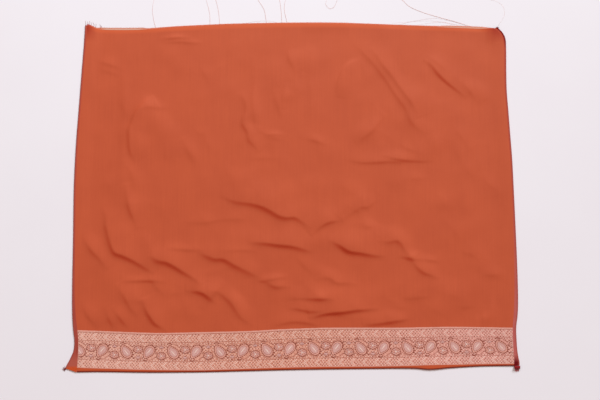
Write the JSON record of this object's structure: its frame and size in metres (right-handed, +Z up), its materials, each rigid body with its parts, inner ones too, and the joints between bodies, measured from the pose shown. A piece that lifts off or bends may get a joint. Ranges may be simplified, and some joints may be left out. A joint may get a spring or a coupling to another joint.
{
  "type": "silk saree cloth length",
  "caption": "Length of silk satin saree cloth laid flat, with rolled selvages, a raw frayed end and a woven brocade border above a turned-under end.",
  "frame": {"origin": "middle of the laid cloth's box, on the surface it lies on", "axes": "+X across the cloth from the left selvage to the right one, +Y from the brocade border to the raw end, +Z up off the surface"},
  "size_m": [1.1398, 0.9791, 0.0063],
  "materials": {
    "satin": "rust silk satin with a soft sheen and a fine weave",
    "brocade": "woven zari brocade, peach silver on rust, slightly raised and shiny",
    "selvage": "dense rose selvage weave, dull",
    "raw_thread": "loose pale rust silk threads"
  },
  "bodies": {
    "root": {"field_panel": "satin", "brocade_border": "brocade", "turned_hem": "satin", "selvage_left": "selvage", "selvage_right": "selvage", "frayed_end": "raw_thread", "selvage_curl": "selvage", "tuft_lower_left": "selvage", "tuft_lower_right": "selvage", "tuft_upper_right": "selvage"}
  },
  "joints": []
}
